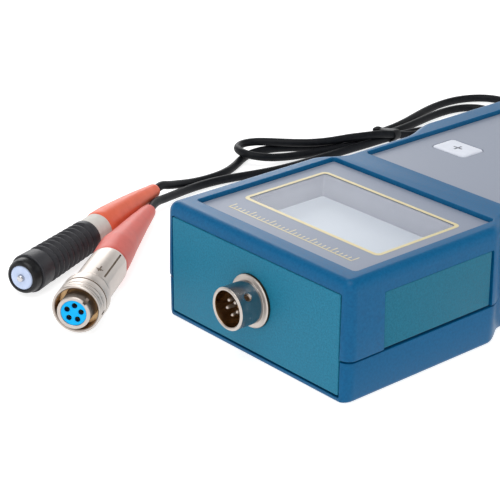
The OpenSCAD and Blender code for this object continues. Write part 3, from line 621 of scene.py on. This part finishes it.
cut(top, join("holes", [stack("w", 0, Y0 + 19.3 + 13.8, 48.8, 28.4, 1, [(ROOF_Z - 1, 0), (ROOF_Z + 3, 0)])] + [
    stack("k_" + k, x, Y0 + p, 12.5, 9.1, 1.5, [(ROOF_Z - 1, 0), (ROOF_Z + 3, 0)]) for k, (x, p) in KEYS.items()]))
cut(top, slot_box(-31.6, 31.6, -2, 2.9, SPLIT - 3, 28.15))
piece(top, M_CASE, nodes=("top_case",))

levels = [(0, 1.5, 0.4), (0.1, 1.15, 0.22), (0.35, 0.95, 0.1), (1.1, 0.65, 0.05), (10.35, 0.3, 0.15), (10.56, 0.38, 0.23), (10.66, 0.6, 0.45)]
bottom = loft("case_bottom", [case_ring(o, e, z) for z, o, e in levels])
hollow = loft("hollow", [case_ring(WALL + 0.4, WALL + 0.4, 1.8), case_ring(WALL + 0.4, WALL + 0.4, SPLIT + 1)])
cut(bottom, hollow)
cut(bottom, slot_box(-31.6, 31.6, -2, 2.9, 1.05, SPLIT + 3))
cut(bottom, box("door_hole", -22.3, 22.3, 107.3, 163, -1, 1.85, 0.1))
SCREWS = [(s * 27.3, p) for s in (-1, 1) for p in (10.5, 151)]
bosses = [cyl("boss", (x, Y0 + p, 1.2), (x, Y0 + p, SPLIT), 3.2, 32) for x, p in SCREWS]
walls = [box("bw1", -23.9, -22.5, 105.6, 158.8, 1.2, 10.6, 0.2), box("bw2", 22.5, 23.9, 105.6, 158.8, 1.2, 10.6, 0.2),
         box("bw3", -22.8, 22.8, 105.6, 107, 1.2, 10.6, 0.2)]
for part in bosses + walls:
    cut(bottom, part, op="UNION")
cut(bottom, join("screw_holes", [revolve("sh", [(0, -1), (3.0, -1), (3.0, 0), (2.7, 0.3), (2.7, 5), (1.6, 5), (1.6, 20), (0, 20)],
                                         Matrix.Translation(Vector((x, Y0 + p, 0))), 32, soft=0) for x, p in SCREWS]))
piece(bottom, M_CASE, nodes=("bottom_case",))

tongue = loft("case_tongue", [case_ring(o, o, z) for z, o in ((9.6, 1.15), (11.8, 1.15), (11.8, 2.05), (9.6, 2.05))], close=True)
cut(tongue, slot_box(-31.8, 31.8, -2, 3, 5, 20))
# the lip takes the darker blue: painted shade in the gap
piece(tongue, M_CASE_GAP_SHADE)

# end panel with the plate behind it
panel = stack("end_panel", 0, 14.75, 62.4, 26.4, 0.5, [(0, 0), (2.5, 0), (2.66, -0.04), (2.77, -0.14), (2.8, -0.3)])
panel.data.transform(Matrix.Translation((0, (Y0 + 2.9) * MM, 0)) @ Matrix.Rotation(math.radians(90), 4, "X"))
cut(panel, cyl("ph", (0, Y0 - 3, 15.5), (0, Y0 + 8, 15.5), 5.2, 48))
back = box("panel_back", -30.9, 30.9, 2.92, 4.4, 2.1, 27.3, 0.2)
cut(back, cyl("ph", (0, Y0 - 3, 15.5), (0, Y0 + 8, 15.5), 5.2, 48))
panel = join("panel_end", [panel, back])
piece(panel, M_PANEL, nodes=("end_panel",))

for s, nm in ((-1, "left"), (1, "right")):
    ins = stack("ins", 0, 0, 37.0, 14.8, 0.4, [(0, 0), (0.72, 0), (0.84, -0.05), (0.9, -0.18)])
    # local x runs along the case, y is up, z is outwards
    m = Matrix(((0, 0, s, s * 33.3 * MM), (s, 0, 0, (Y0 + 30.5) * MM), (0, 1, 0, 18.84 * MM), (0, 0, 0, 1)))
    ins.data.transform(m)
    ins.data.update()
    ins.name = "insert_" + nm
    piece(ins, M_INSERT, nodes=("side_insert_" + nm,))

# ---- display -----------------------------------------------------------------
label = stack("display_film", 0, Y0 + 6.7 + 24.1, 57.9, 47.7, 0.7, [(30.1, 0), (30.34, 0), (30.4, -0.07)])
cut(label, stack("lw", 0, Y0 + 33.1, 48, 27.6, 1.1, [(29, 0), (32, 0)]))
piece(label, M_LABEL, nodes=("display_label",))
line = stack("gold_frame", 0, Y0 + 33.1, 49.7, 29.3, 1.6, [(30.38, 0), (30.43, 0)])
cut(line, stack("lw", 0, Y0 + 33.1, 47.7, 27.3, 1.0, [(29, 0), (32, 0)]))
piece(line, M_GOLD)
marks = []
for i in range(31):
    tall = 2.4 if i % 5 == 0 else 1.3
    marks.append(box("t%d" % i, -22.5 + 1.5 * i - 0.16, -22.5 + 1.5 * i + 0.16, 12.2, 12.2 + tall, 30.38, 30.42, 0.01))
marks.append(box("tb", -22.7, 22.7, 11.7, 12.05, 30.38, 30.42, 0.01))
piece(join("gold_scale", marks), M_GOLD)

bezel = loft("lcd_frame", [[(x, y, z) for x, y in rr(0, Y0 + 33.1, w, l, r)] for w, l, r, z in (
    (55, 34.2, 1, 25.02), (55, 34.2, 1, 27.5), (48.4, 28.0, 0.9, 27.5), (48.4, 28.0, 0.9, 30.05), (48.1, 27.7, 0.8, 30.09),
    (47.7, 27.3, 0.8, 30.0), (44.3, 22.5, 0.6, 25.35), (44.3, 22.5, 0.6, 25.02))], close=True)
piece(bezel, M_BEZEL, nodes=("lcd_bezel",))

# ---- keypad ------------------------------------------------------------------
pad = stack("keypad_film", 0, Y0 + 64.3 + 42.5, 52.1, 84.5, 0.9, [(SEAT_Z + 0.02, 0), (30.34, 0), (30.4, -0.07)])
cut(pad, join("kh", [stack("k_" + k, x, Y0 + p, 12.5, 9.1, 1.5, [(29, 0), (30.3, 0), (30.42, 0.1), (32, 0.5)]) for k, (x, p) in KEYS.items()]))
piece(pad, M_PAD, nodes=("keypad_overlay",))


def ring_mark(name, cx, cy, r0, r1, z0, z1, a0=0, a1=360):
    full = a1 - a0 >= 360
    n = 36
    rings = []
    for i in range(n if full else n + 1):
        a = math.radians(a0 + (a1 - a0) * i / n)
        c, s = math.cos(a), math.sin(a)
        rings.append([(cx + r0 * c, cy + r0 * s, z0), (cx + r1 * c, cy + r1 * s, z0), (cx + r1 * c, cy + r1 * s, z1), (cx + r0 * c, cy + r0 * s, z1)])
    return loft(name, rings, 40, close=full)


KZ = 30.55
for k, (x, p) in KEYS.items():
    cap = stack("cap", x, Y0 + p, 12.1, 8.7, 1.25, [(26.7, 0), (KZ - 0.45, 0), (KZ - 0.22, -0.06), (KZ - 0.08, -0.2), (KZ, -0.5), (KZ + 0.03, -1.4)])
    foot = stack("foot", x, Y0 + p, 13.8, 10.4, 1.2, [(26.2, -0.1), (26.3, 0), (27.1, 0), (27.2, -0.1)])
    stem = cyl("stem", (x, Y0 + p, 24.6), (x, Y0 + p, 26.4), 2)
    key = join("cap_" + k, [cap, foot, stem])
    body = k + "_key"
    red = k == "power"
    piece(key, M_KEY_RED if red else M_KEY, body, ("key_" + k,))
    z0, z1 = KZ + 0.0, KZ + 0.05
    if k == "plus":
        mk = [box("m1", x - 1.5, x + 1.5, p - 0.3, p + 0.3, z0, z1, 0.01), box("m2", x - 0.3, x + 0.3, p - 1.5, p + 1.5, z0, z1 + 0.002, 0.01)]
    elif k == "minus":
        mk = [box("m1", x - 1.5, x + 1.5, p - 0.3, p + 0.3, z0, z1, 0.01)]
    elif k == "zero":
        mk = [ring_mark("m1", x, Y0 + p, 0.95, 1.5, z0, z1)]
    elif k == "mode":
        mk = [box("m1", x - 1.5, x + 1.5, p - 1.2, p - 0.75, z0, z1, 0.01), box("m2", x - 1.5, x + 1.5, p - 0.2, p + 0.25, z0, z1, 0.01),
              box("m3", x - 1.5, x + 1.5, p + 0.8, p + 1.25, z0, z1, 0.01)]
    else:
        mk = [ring_mark("m1", x, Y0 + p, 1.15, 1.65, z0, z1, 130, 410), box("m2", x - 0.25, x + 0.25, p + 0.5, p + 2.0, z0, z1 + 0.002, 0.01)]
    piece(join("mark_" + k, mk), M_WHITE_INK if red else M_INK, body)

# ---- socket ------------------------------------------------------------------
SOCK_Z = 15.5
F_SOCK = Matrix.Translation(Vector((0, Y0, SOCK_Z))) @ Matrix.Rotation(math.radians(90), 4, "X")
shell = revolve("socket_shell_v", [(4.7, 1.2), (4.7, 7.7), (5.0, 8.0), (5.25, 8.0), (5.6, 7.65), (5.6, 0.9), (6.7, 0.9), (7.0, 0.6), (7.0, -0.1),
                                   (5.0, -0.1), (5.0, -9), (4.42, -9), (4.42, 1.2)], F_SOCK, 80, 0.14)
ha = math.radians(48)
hd = Vector((math.sin(ha), 0, math.cos(ha)))
hc = Vector((0, Y0 - 4.7, SOCK_Z))
cut(shell, revolve("lock", [(0, 3), (1.0, 3), (1.0, 5.4), (1.22, 5.75), (1.22, 8), (0, 8)],
                   Matrix.Translation(hc) @ hd.to_track_quat("Z", "Y").to_matrix().to_4x4(), 32, soft=0))
shell.data.materials.append(M_NICKEL)
shell.data.materials.append(M_NICKEL_IN)
shell.data.materials.append(M_NICKEL_PAINTED_REFLECTION)
shell.data.materials.append(M_NICKEL_SHADE_AND_MARK)
for f in shell.data.polygons:
    c = f.center / MM
    r = math.hypot(c.x, c.z - SOCK_Z)
    if r < 4.82 and c.y > Y0 - 7.75:
        f.material_index = 1
    # barrel outside: darker nickel as painted reflection of the dark case
    elif 5.3 < r < 5.62 and Y0 - 7.5 < c.y < Y0 - 0.9:
        f.material_index = 2
    # flange rim: dark nickel as painted reflection of the dark end panel
    elif r > 6.9:
        f.material_index = 3
piece(shell, M_NICKEL, nodes=("socket_shell",))
core = revolve("socket_core", [(0, -8), (4.38, -8), (4.38, 1.2), (0, 1.2)], F_SOCK, 64, 0.15)
piece(core, M_BROWN, nodes=("socket_insulator",))
pins = []
for i in range(5):
    a = math.radians(56 + 72 * i)
    m = F_SOCK @ Matrix.Translation(Vector((2 * math.cos(a), 2 * math.sin(a), 0)))
    pins.append(revolve("pin", [(0, -11), (0.5, -11), (0.5, 5.9), (0.42, 6.25), (0.22, 6.45), (0, 6.5)], m, 20, 0.05))
piece(join("socket_pins_v", pins), M_NICKEL, nodes=("socket_pins",))

# ---- probe -------------------------------------------------------------------
prof = [(3.46, 3.1), (5.2, 3.1), (5.46, 3.4)]
for i in range(9):
    t = 9.35 + 2.55 * i
    g = 5.45 + (4.85 - 5.45) * (t - 4) / (GRIP_END - 4)
    prof += [(g - 0.06, t - 0.95), (g - 0.85, t - 0.32), (g - 0.85, t + 0.32), (g - 0.06, t + 0.95), (g, t + 1.27)]
prof += [(4.88, GRIP_END - 0.45), (4.5, GRIP_END), (3, GRIP_END), (3, 22), (3.46, 22)]
grip = revolve("grip", prof, F_PROBE, 80, 0.3, n=4)
piece(grip, M_GRIP, nodes=("probe_grip",))
nose = revolve("nose", [(3.46, 0.3), (3.62, 0.0), (3.95, 0.0), (4.3, 0.2), (4.62, 0.75), (4.84, 1.6), (4.92, 2.6), (4.92, 3.08), (3.46, 3.08)], F_PROBE, 80, 0.2, n=4)
piece(nose, M_NOSE, nodes=("probe_nose",))
disc = revolve("sensor_face", [(1.02, 0), (3.1, 0), (3.38, 0.28), (3.38, 3), (1.8, 3), (1.8, 9), (3.38, 9), (3.38, 13.5), (1.02, 13.5)], F_PROBE, 64, 0.08)
piece(disc, M_SENSOR, "sensor", ("sensor_bobbin",))
tip = revolve("sensor_tip", [(0, -1.05), (0.45, -1.02), (0.72, -0.9), (0.9, -0.65), (0.98, -0.3), (1.0, 0.1), (1.0, 12), (0, 12)], F_PROBE, 32, 0)
piece(tip, M_STEEL, "sensor", ("sensor_core",))
collar = revolve("probe_collar", [(0, 23), (2.95, 23), (2.95, GRIP_END + 0.02), (4.5, GRIP_END + 0.02), (4.62, GRIP_END + 0.25), (4.74, RING_END - 0.2), (4.6, RING_END), (0, RING_END)], F_PROBE, 72, 0.12)
piece(collar, M_RING, nodes=("probe_ring",))
bl = PROBE_L - RING_END - 2.4
boot_r = [(0, 4.72), (0.4, 4.9), (1.2, 4.98), (5.8, 4.66), (11.3, 4.05), (18.5, 3.3), (26.8, 2.55), (bl - 3, 2.25), (bl - 1, 2.18), (bl - 0.35, 2.0), (bl - 0.1, 1.8), (bl, 1.5)]


def along(pairs, u):
    return float(np.interp(u, [a for a, _ in pairs], [b for _, b in pairs]))


us = [0, 0.2, 0.4, 0.8, 1.2] + [1.2 + (bl - 2.2) * i / 34 for i in range(1, 35)] + [bl - 0.65, bl - 0.35, bl - 0.2, bl - 0.1, bl]
boot = swept("probe_sleeve", [ring_at + u * boot_dir + Vector((0, 0, 0.55 * math.sin(math.pi * u / bl))) for u in us], [along(boot_r, u) for u in us], 56)
piece(boot, M_BOOT, nodes=("probe_boot",))

# ---- plug --------------------------------------------------------------------
sleeve = revolve("coupling_sleeve", [(5.72, 0.3), (6.0, 0), (6.3, 0), (6.52, 0.25), (6.52, 1.0), (6.4, 1.1), (6.4, 1.35), (6.52, 1.45), (6.52, 2.6), (6.4, 2.7), (6.4, 2.95), (6.52, 3.05),
                                     (6.52, 5.3), (6.2, 5.42), (6.2, 5.8), (6.52, 5.92), (6.52, 9.25), (6.3, 9.6), (5.56, 9.6), (5.56, 5.8), (4.48, 5.8), (4.48, 4.6), (5.72, 4.6)], F_PLUG, 96, 0.07)
for s in (-1, 1):
    m = F_PLUG @ Matrix.Rotation(math.radians(90 * s + 12), 4, "Z")
    pts = rr(0, 2.6, 0.8, 2.4, 0.35, 5)
    win = loft("win", [[tuple(m @ Vector((rad, u, t))) for u, t in pts] for rad in (6.1, 7.2)])
    cut(sleeve, win)
sleeve.data.materials.append(M_NICKEL)
sleeve.data.materials.append(M_NICKEL_IN)
sleeve.data.materials.append(M_NICKEL_SHADE_AND_MARK)
inv = F_PLUG.inverted()
for f in sleeve.data.polygons:
    q = inv @ (f.center / MM)
    r = math.hypot(q.x, q.y)
    if r < 5.95 and q.z > 0.2:
        f.material_index = 1
    # grooves between the sleeve's rings and the walls of its windows: dark nickel as painted shade
    elif r < 6.46 and (1.05 < q.z < 1.4 or 2.65 < q.z < 3.0 or 5.36 < q.z < 5.88) or (1.3 < q.z < 3.9 and r < 6.3):
        f.material_index = 2
piece(sleeve, M_NICKEL, "sleeve", ("plug_sleeve",))
barrel = revolve("plug_tube", [(3.42, -2.4), (3.52, -2.5), (4.2, -2.5), (4.4, -2.3), (4.4, 20), (3.42, 20)], F_PLUG, 72, 0.1)
m = F_PLUG @ Matrix.Rotation(math.radians(-135), 4, "Z")
cut(barrel, loft("key", [[tuple(m @ Vector((rad, u, t))) for u, t in rr(0, -1.4, 0.9, 3.6, 0.2, 3)] for rad in (3.86, 6.0)]))
piece(barrel, M_NICKEL, nodes=("plug_barrel",))
ins = revolve("plug_core", [(0, -2.3), (3.4, -2.3), (3.4, 13.7), (0, 13.7)], F_PLUG, 64, 0.15)
holes = []
for i in range(5):
    a = math.radians(11 + 72 * i)
    holes.append(revolve("h", [(0, -6), (0.95, -6), (0.95, -2.3), (0.72, -2.08), (0.72, 6), (0, 6)],
                         F_PLUG @ Matrix.Translation(Vector((-1.95 * math.sin(a), -1.95 * math.cos(a), 0))), 24, 0))
cut(ins, join("hs", holes))
ins.data.materials.append(M_BLUE)
ins.data.materials.append(M_HOLE_SHADE)
for f in ins.data.polygons:
    q = inv @ (f.center / MM)
    # walls inside the contact holes: painted shade
    if q.z > -2.05 and math.hypot(q.x, q.y) < 3.0:
        f.material_index = 1
piece(ins, M_BLUE, nodes=("plug_insulator",))
rear = revolve("plug_rear", [(0, 20.2), (4.42, 20.2), (4.42, 8), (5.1, 8), (5.25, 8.3), (5.25, 11.4), (5.32, 11.5), (5.32, 11.9), (5.45, 12.0), (5.45, 27), (5.42, 29), (5.3, SHELL_END - 0.2), (5.1, SHELL_END), (0, SHELL_END)], F_PLUG, 96, 0.1)
for s in (-1, 1):
    m = F_PLUG @ Matrix.Rotation(math.radians(90 * s), 4, "Z")
    cut(rear, loft("flat", [[tuple(m @ Vector((rad, u, t))) for u, t in rr(0, 22.9, 12, 19.8, 0.3, 3)] for rad in (4.98, 8)]))
m = F_PLUG @ Matrix.Rotation(math.radians(-136), 4, "Z")
cut(rear, loft("groove", [[tuple(m @ Vector((rad, u, t))) for u, t in rr(0, 21.2, 0.5, 16.0, 0.2, 3)] for rad in (5.2, 8)]))
rear.data.materials.append(M_NICKEL)
rear.data.materials.append(M_NICKEL_SHADE_AND_MARK)
minv = m.inverted()
for f in rear.data.polygons:
    q = minv @ (f.center / MM)
    # faces inside the backshell's groove: dark nickel as painted shade
    if q.x > 5.1 and abs(q.y) < 0.27 and 13.1 < q.z < 29.3 and math.hypot(q.x, q.y) < 5.42:
        f.material_index = 1
piece(rear, M_NICKEL, nodes=("plug_backshell",))
a0 = math.radians(-160)
strips = []
for k, (u, t0, t1) in enumerate(((-0.8, 15.3, 15.7), (-0.4, 14.75, 15.7), (0, 14.2, 17.4), (0.4, 14.75, 15.7), (0.8, 15.3, 15.7))):
    strips.append(loft("s%d" % k, [[tuple(F_PLUG @ Vector((rad * math.cos(a0 + v / 5.45), rad * math.sin(a0 + v / 5.45), t)))
                                    for v, t in ((u - 0.2, t0), (u + 0.2, t0), (u + 0.2, t1), (u - 0.2, t1))] for rad in (5.36, 5.475)]))
mark = join("plug_arrow", strips)
piece(mark, M_NICKEL_SHADE_AND_MARK)
gl = PLUG_L - SHELL_END - 2.8
plug_r = [(0, 4.95), (0.4, 5.15), (1.2, 5.22), (6, 5.2), (10.4, 5.1), (16.6, 4.42), (25, 3.72), (36.5, 2.75), (40.5, 2.4), (gl - 1.2, 2.18), (gl - 0.4, 1.98), (gl - 0.1, 1.75), (gl, 1.45)]
us = [0, 0.2, 0.4, 0.8, 1.2] + [1.2 + (gl - 2.4) * i / 40 for i in range(1, 41)] + [gl - 0.8, gl - 0.4, gl - 0.2, gl - 0.1, gl]
side = (F_PLUG.to_3x3() @ Vector((0, 1, 0))).normalized()
bow = [(0, 0.15), (10, 0.75), (17, 0.6), (30, 0.45), (40, 0.15), (gl, 0.0)]
shell_at = F_PLUG @ Vector((0, 0, SHELL_END))
boot2 = swept("plug_strain_relief", [shell_at + u * plug_dir + along(bow, u) * (0.75 * side + Vector((0, 0, 0.6))) for u in us], [along(plug_r, u) for u in us], 56)
piece(boot2, M_BOOT2, nodes=("plug_boot",))

# ---- battery door ------------------------------------------------------------
door = box("door_plate", -22, 22, 107.6, 159.2, 0, 1.5, 0.25)
cut(door, join("grooves", [box("g", -9, 9, 139 + 3 * i, 140.4 + 3 * i, -1, 0.5, 0.2) for i in range(5)]))
piece(door, M_CASE, "door", ("battery_door",))

# ---- CAD pieces that show as they are ----------------------------------------
for name, m in {
    "display_window": M_WINDOW, "lcd_glass": M_LCD, "zebra_strips": M_ZEBRA, "main_pcb": M_BOARD, "ic_chips": M_CHIP,
    "key_switches": M_CHIP, "pcb_screws": M_STEEL, "socket_nut": M_STEEL, "hookup_wires": M_WIRE, "battery_cells": M_CELL,
    "battery_plates": M_STEEL, "battery_springs": M_STEEL, "case_screws": M_STEEL, "sensor_coil": M_COIL, "sensor_spring": M_STEEL,
    "plug_contacts": M_GOLD_PIN, "plug_spring": M_STEEL,
}.items():
    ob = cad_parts[name]
    ob.data.materials.clear()
    ob.data.materials.append(m)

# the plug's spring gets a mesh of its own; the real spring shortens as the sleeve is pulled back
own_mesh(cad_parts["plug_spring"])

# ---- floor and light ---------------------------------------------------------
fm = material("floor_white", (0.46, 0.46, 0.46, 1), (0.49, 0.49, 0.49, 1), 0.8, 0.05, 20, 400, 0.02, specular=0.1)
fb = next(n for n in fm.node_tree.nodes if n.type == "BSDF_PRINCIPLED")
fb.inputs["Emission Color"].default_value = (1, 1, 1, 1)
fb.inputs["Emission Strength"].default_value = 0.78
me = bpy.data.meshes.new("floor")
g, h = 24, 3.0
me.from_pydata([(h * (2 * i / g - 1), h * (2 * j / g - 1), -0.0002) for j in range(g + 1) for i in range(g + 1)], [],
               [(j * (g + 1) + i, j * (g + 1) + i + 1, (j + 1) * (g + 1) + i + 1, (j + 1) * (g + 1) + i) for j in range(g) for i in range(g)])
floor = link(bpy.data.objects.new("floor", me))
floor.data.materials.append(fm)

world = bpy.data.worlds.new("studio")
scene.world = world
world.use_nodes = True
wt = world.node_tree
wt.nodes.clear()
wo = wt.nodes.new("ShaderNodeOutputWorld")
bg = wt.nodes.new("ShaderNodeBackground")
tc = wt.nodes.new("ShaderNodeTexCoord")
sx = wt.nodes.new("ShaderNodeSeparateXYZ")
rp = wt.nodes.new("ShaderNodeValToRGB")
stops = [(0.0, 1.0), (0.40, 1.0), (0.56, 0.18), (1.0, 0.18)]
for n, (at, v) in enumerate(stops):
    el = rp.color_ramp.elements[n] if n < 2 else rp.color_ramp.elements.new(at)
    el.position = at
    el.color = (v * 0.98, v * 0.99, v, 1)
bg.inputs["Strength"].default_value = 1.25
wt.links.new(tc.outputs["Generated"], sx.inputs["Vector"])
wt.links.new(sx.outputs["Z"], rp.inputs["Fac"])
wt.links.new(rp.outputs["Color"], bg.inputs["Color"])
wt.links.new(bg.outputs["Background"], wo.inputs["Surface"])


def area(name, at, aim, size, watts):
    d = bpy.data.lights.new(name, "AREA")
    d.shape = "RECTANGLE"
    d.size, d.size_y = size
    d.energy = watts
    ob = link(bpy.data.objects.new(name, d))
    ob.location = at
    ob.rotation_euler = (Vector(aim) - Vector(at)).to_track_quat("-Z", "Y").to_euler()
    return ob


area("light_top", (0.1, -0.22, 0.95), (0, 0, 0), (0.8, 0.8), 6.5)
area("light_end", (0.55, -1.0, 0.85), (0, -0.05, 0.01), (0.5, 0.5), 1.5)
area("light_back", (-0.90, 0.45, 0.42), (0, 0, 0.02), (0.55, 0.5), 2.8)
